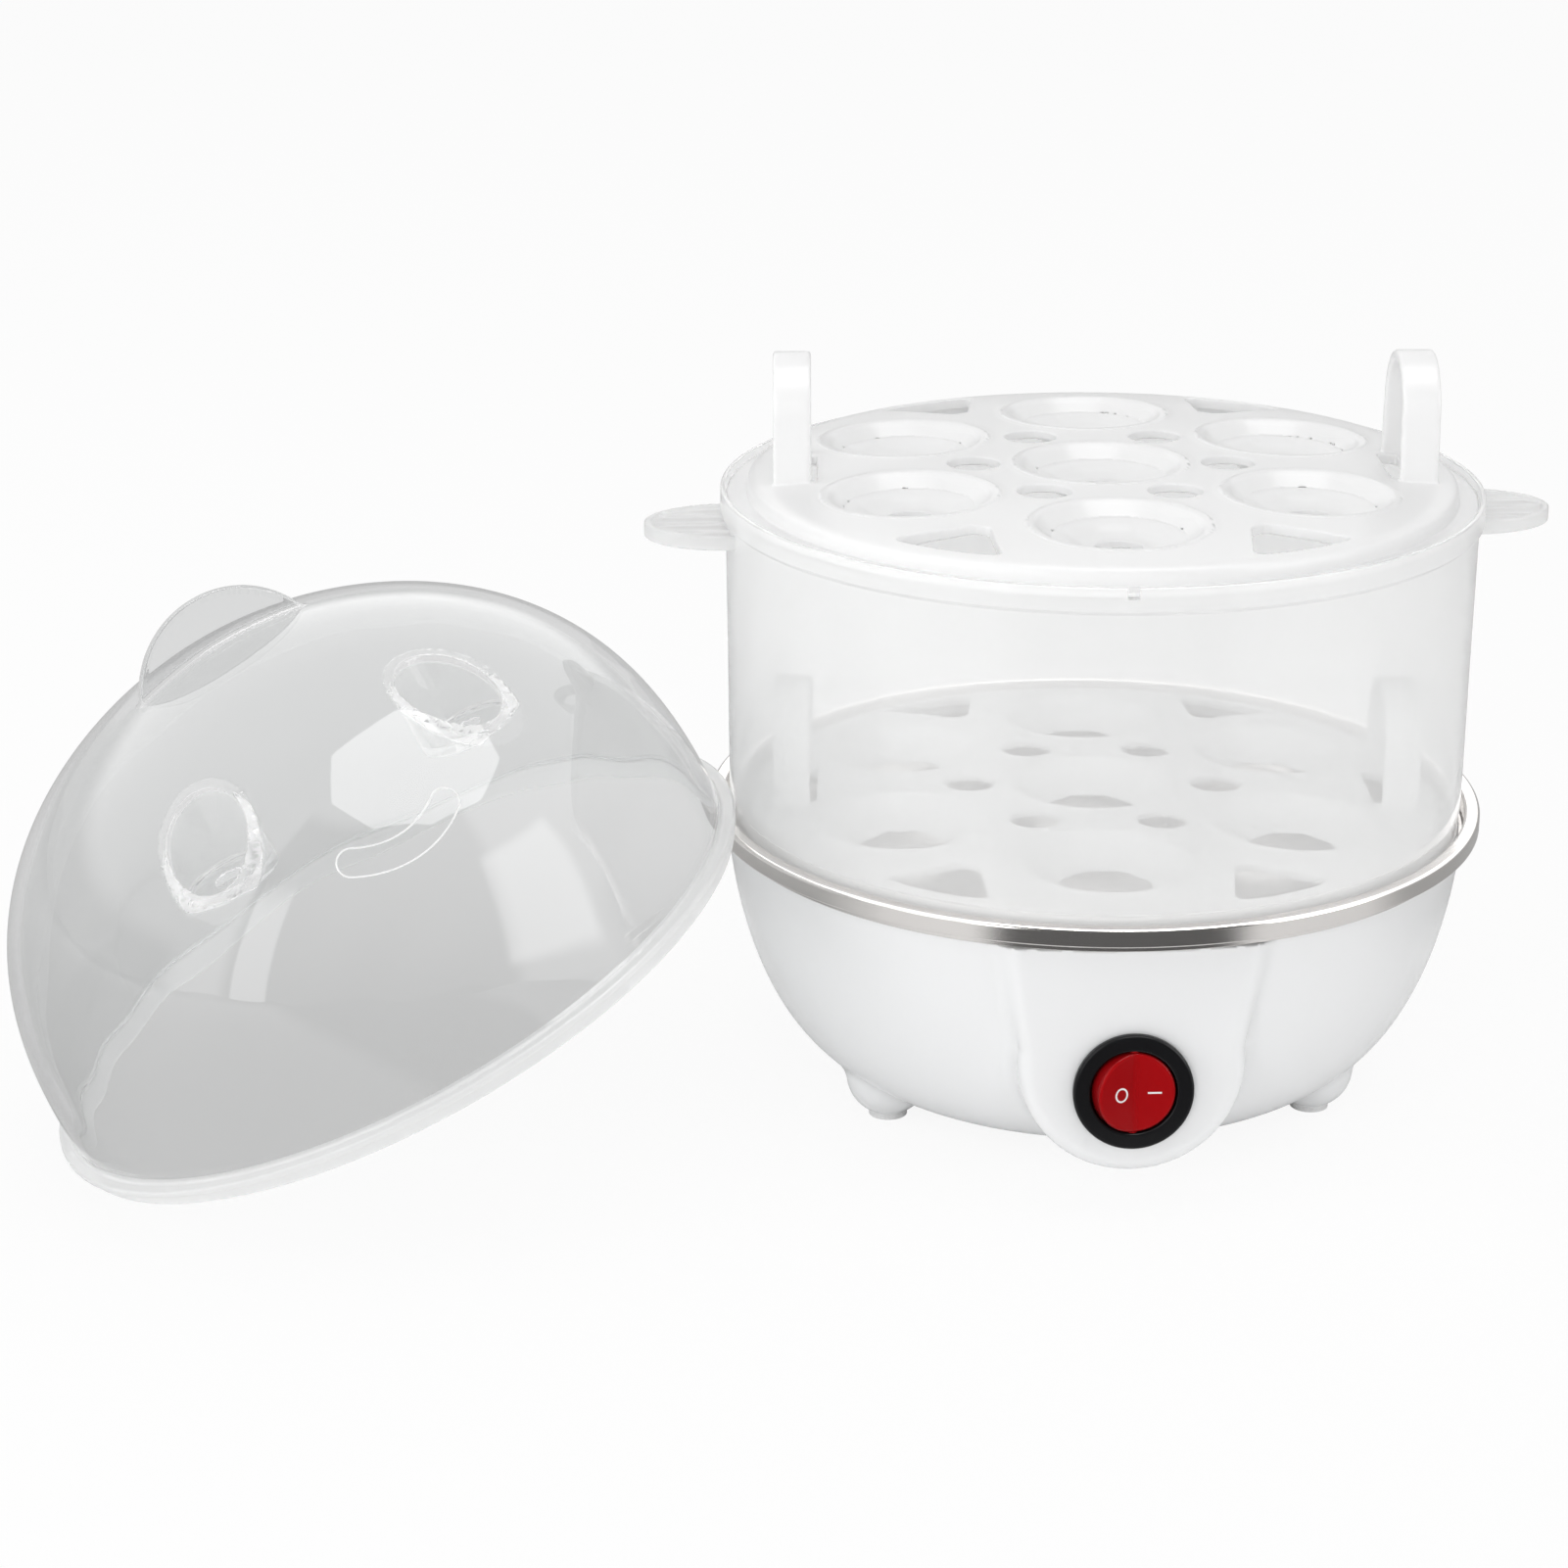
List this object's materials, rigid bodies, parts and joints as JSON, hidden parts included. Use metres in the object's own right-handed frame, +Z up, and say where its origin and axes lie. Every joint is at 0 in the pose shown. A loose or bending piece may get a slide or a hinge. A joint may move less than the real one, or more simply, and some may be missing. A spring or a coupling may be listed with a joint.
{
  "type": "egg cooker",
  "caption": "Two-tier electric egg cooker: a round heated base with a steel water dish, cupped egg trays, a clear steaming tier and a clear domed lid.",
  "frame": {"origin": "on the cooker's vertical axis, in the plane that the feet stand on", "axes": "+Z up, -Y towards the switch at the front, +X to the right; the lid stands at -X"},
  "size_m": [0.3096, 0.1754, 0.1522],
  "materials": {
    "white_shell": "smooth gloss moulded white",
    "white_cover": "fine matt moulded white",
    "switch_black": "smooth gloss black nylon",
    "tray_white": "semi-gloss white polypropylene, slightly translucent",
    "tier_clear": "clear moulded plastic, faintly milky",
    "lid_clear": "clear moulded plastic with a grey smoke tint",
    "dish_steel": "circularly brushed stainless steel",
    "zinc_steel": "zinc-plated steel",
    "element_steel": "heat-darkened stainless tube",
    "spreader_aluminium": "die-cast aluminium",
    "ceramic_ivory": "ivory steatite ceramic",
    "thermostat_body": "moulded phenolic with a metal cap",
    "fuse_sleeve": "woven glass-fibre sleeve",
    "block_plastic": "unpigmented nylon",
    "terminal_brass": "bright brass",
    "lamp_glass": "neon lamp glass",
    "rocker_red": "translucent red polycarbonate",
    "pad_rubber": "soft light grey silicone",
    "bushing_rubber": "soft white rubber",
    "wire_brown": "silicone insulation",
    "wire_blue": "silicone insulation",
    "wire_black": "silicone insulation",
    "wire_white": "silicone insulation",
    "wire_green": "green and yellow insulation"
  },
  "bodies": {
    "base": {"housing_bowl": "white_shell", "foot_pads": "pad_rubber", "bottom_cover": "white_cover", "cover_screws": "zinc_steel", "cord_bushing": "bushing_rubber", "steel_dish": "dish_steel", "dish_stud": "zinc_steel", "clamp_bar": "zinc_steel", "clamp_nut": "zinc_steel", "heat_spreader": "spreader_aluminium", "heating_element": "element_steel", "element_terminals": "ceramic_ivory", "thermostat": "thermostat_body", "thermostat_bracket": "zinc_steel", "bracket_screws": "zinc_steel", "thermal_fuse": "fuse_sleeve", "fuse_clip": "zinc_steel", "terminal_block": "block_plastic", "switch_body": "switch_black", "switch_terminals": "terminal_brass", "indicator_lamp": "lamp_glass", "live_lead": "wire_brown", "neutral_lead": "wire_blue", "switched_lead": "wire_black", "fuse_lead": "wire_white", "earth_lead": "wire_green", "lamp_lead": "wire_blue"},
    "rocker": {"rocker_button": "rocker_red"},
    "lower_tray": {"lower_tray": "tray_white"},
    "steam_tier": {"steam_tier": "tier_clear"},
    "upper_tray": {"upper_tray": "tray_white"},
    "lid": {"lid": "lid_clear"}
  },
  "joints": [
    {"name": "rocker_tilt", "type": "hinge", "parent": "base", "child": "rocker", "pos_m": [0, -0.0753, 0.02703], "axis": [0, -0.0523, -0.9986], "range_deg": [0, 22]},
    {"name": "lower_tray_lift", "type": "slide", "parent": "base", "child": "lower_tray", "axis": [0, 0, 1], "range_m": [0, 0.08]},
    {"name": "steam_tier_lift", "type": "slide", "parent": "lower_tray", "child": "steam_tier", "axis": [0, 0, 1], "range_m": [0, 0.09]},
    {"name": "upper_tray_lift", "type": "slide", "parent": "steam_tier", "child": "upper_tray", "axis": [0, 0, 1], "range_m": [0, 0.06]},
    {"name": "lid_lift", "type": "slide", "parent": "base", "child": "lid", "axis": [-0.6993, -0.1045, 0.7071], "range_m": [0, 0.15]}
  ]
}
